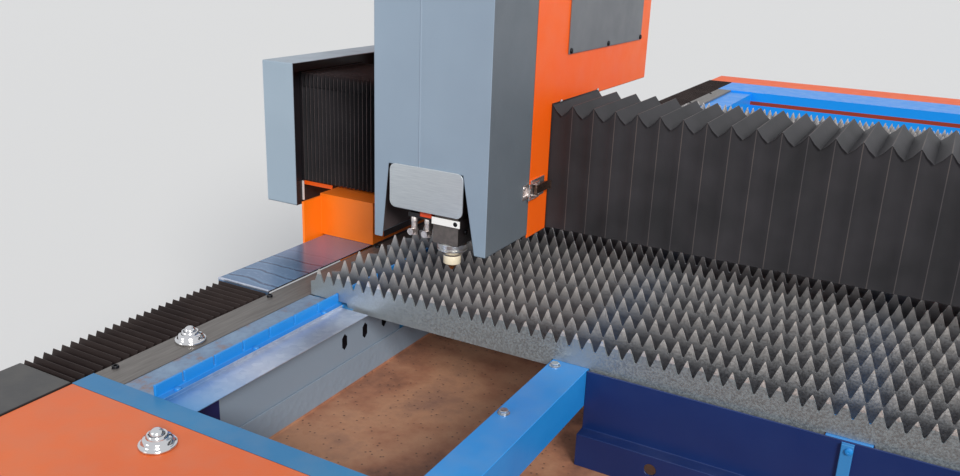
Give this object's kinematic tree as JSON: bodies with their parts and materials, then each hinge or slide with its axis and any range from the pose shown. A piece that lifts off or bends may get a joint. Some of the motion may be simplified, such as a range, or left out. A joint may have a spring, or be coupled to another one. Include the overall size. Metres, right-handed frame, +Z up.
{
  "type": "fiber laser cutting machine",
  "caption": "Open flat-bed fiber laser cutter: toothed slats in a welded bed, a gantry on covered rails, a carriage with bellows and a cutting head that rises.",
  "frame": {"origin": "middle of the bed at floor level", "axes": "+Z up, +Y along the bed away from the front end, +X to the operator's right along the beam"},
  "size_m": [2.158, 4.66, 1.75],
  "materials": {
    "blue_enamel": "satin",
    "orange_enamel": "satin",
    "grey_powder_coat": "satin",
    "navy_enamel": "satin",
    "panel_powder_coat": "satin",
    "coated_bellows_cloth": "matte",
    "black_enamel": "satin",
    "motor_enamel": "satin",
    "raw_steel": "dull",
    "ground_steel": "ground",
    "dull_steel_strip": "dull",
    "film_covered_steel": "glossy film",
    "galvanised_plate": "satin",
    "slag_stained_steel": "stained",
    "chrome": "polished",
    "machined_casting": "machined"
  },
  "bodies": {
    "bed": {"bed_frame": "blue_enamel", "front_end_cover": "orange_enamel", "rear_end_cover": "orange_enamel", "rail_end_cap_left": "black_enamel", "rail_end_cap_right": "black_enamel", "slag_tray_front": "slag_stained_steel", "slag_tray_rear": "slag_stained_steel", "centre_tube_left": "blue_enamel", "centre_tube_right": "blue_enamel", "partition_wall": "navy_enamel", "slat_table": "raw_steel", "slat_comb_left": "blue_enamel", "slat_comb_right": "blue_enamel", "deflector_left": "galvanised_plate", "deflector_right": "galvanised_plate", "rail_strip_left": "dull_steel_strip", "rail_strip_right": "dull_steel_strip", "ball_cup_strip": "chrome", "ball_cup_cover": "chrome", "y_rail_left": "ground_steel", "y_rail_right": "ground_steel", "y_rack_left": "ground_steel", "y_rack_right": "ground_steel", "y_bellows_front_left": "coated_bellows_cloth", "y_bellows_front_right": "coated_bellows_cloth", "y_bellows_rear_left": "coated_bellows_cloth", "y_bellows_rear_right": "coated_bellows_cloth"},
    "gantry": {"gantry_beam": "orange_enamel", "saddle_left": "orange_enamel", "saddle_right": "orange_enamel", "saddle_apron_left": "film_covered_steel", "saddle_apron_right": "film_covered_steel", "end_hood_left": "grey_powder_coat", "end_hood_right": "grey_powder_coat", "y_motor_left": "motor_enamel", "y_motor_right": "motor_enamel", "x_rail_lower": "ground_steel", "x_rail_upper": "ground_steel", "x_rack": "ground_steel", "x_bellows_left": "coated_bellows_cloth", "x_bellows_right": "coated_bellows_cloth"},
    "carriage": {"carriage_casting": "machined_casting", "x_motor": "motor_enamel", "z_motor": "motor_enamel", "carriage_housing": "orange_enamel", "access_panel": "panel_powder_coat", "head_cover": "grey_powder_coat", "shield_plate": "machined_casting", "latch_base": "chrome"},
    "head": {"z_slide": "machined_casting", "cutting_head": "motor_enamel", "nozzle": "chrome"},
    "y_pinion_left": {"y_pinion_left": "ground_steel"},
    "y_pinion_right": {"y_pinion_right": "ground_steel"},
    "x_pinion": {"x_pinion": "ground_steel"},
    "z_screw": {"z_screw": "ground_steel"},
    "latch_lever": {"latch_lever": "chrome"},
    "latch_bail": {"latch_bail": "chrome"},
    "ball_strip": {"ball_strip": "ground_steel"},
    "ball_cover": {"ball_cover": "ground_steel"}
  },
  "joints": [
    {"name": "gantry_slide", "type": "slide", "parent": "bed", "child": "gantry", "axis": [0, 1, 0], "range_m": [-0.31, 2.75], "deforming": ["y_bellows_front_left", "y_bellows_front_right", "y_bellows_rear_left", "y_bellows_rear_right"]},
    {"name": "carriage_slide", "type": "slide", "parent": "gantry", "child": "carriage", "axis": [1, 0, 0], "range_m": [-0.2, 1.31], "deforming": ["x_bellows_left", "x_bellows_right"]},
    {"name": "head_slide", "type": "slide", "parent": "carriage", "child": "head", "axis": [0, 0, 1], "range_m": [0, 0.12]},
    {"name": "y_pinion_left_spin", "type": "hinge", "parent": "gantry", "child": "y_pinion_left", "pos_m": [-0.8673, -0.91, 0.7775], "axis": [0, 0, 1], "range_deg": [-10868, 1226]},
    {"name": "y_pinion_right_spin", "type": "hinge", "parent": "gantry", "child": "y_pinion_right", "pos_m": [0.8673, -0.91, 0.7775], "axis": [0, 0, 1], "range_deg": [-1226, 10868]},
    {"name": "x_pinion_spin", "type": "hinge", "parent": "carriage", "child": "x_pinion", "pos_m": [-0.558, -1.0767, 1.1618], "axis": [0, 0, 1], "range_deg": [-5178, 792]},
    {"name": "z_screw_spin", "type": "hinge", "parent": "carriage", "child": "z_screw", "pos_m": [-0.523, -1.2378, 1.0603], "axis": [0, 0, 1], "range_deg": [-4322, 0]},
    {"name": "latch_lever_swing", "type": "hinge", "parent": "carriage", "child": "latch_lever", "pos_m": [-0.42715, -1.276, 1.053], "axis": [0, 0, -1], "range_deg": [0, 100]},
    {"name": "latch_bail_swing", "type": "hinge", "parent": "latch_lever", "child": "latch_bail", "pos_m": [-0.42715, -1.264, 1.053], "axis": [0, 0, -1], "range_deg": [-100, 0]},
    {"name": "ball_strip_roll", "type": "hinge", "parent": "bed", "child": "ball_strip", "pos_m": [-0.7995, -1.83, 0.8666], "axis": [1, 0, 0], "continuous": true},
    {"name": "ball_cover_roll", "type": "hinge", "parent": "bed", "child": "ball_cover", "pos_m": [-0.59, -2.087, 0.8666], "axis": [1, 0, 0], "continuous": true}
  ],
  "couplings": [
    {"joint": "y_pinion_left_spin", "follows": "gantry_slide", "rad_per_m": -68.966},
    {"joint": "y_pinion_right_spin", "follows": "gantry_slide", "rad_per_m": 68.966},
    {"joint": "x_pinion_spin", "follows": "carriage_slide", "rad_per_m": -68.966},
    {"joint": "z_screw_spin", "follows": "head_slide", "rad_per_m": -628.32},
    {"joint": "latch_bail_swing", "follows": "latch_lever_swing", "ratio": -1}
  ]
}
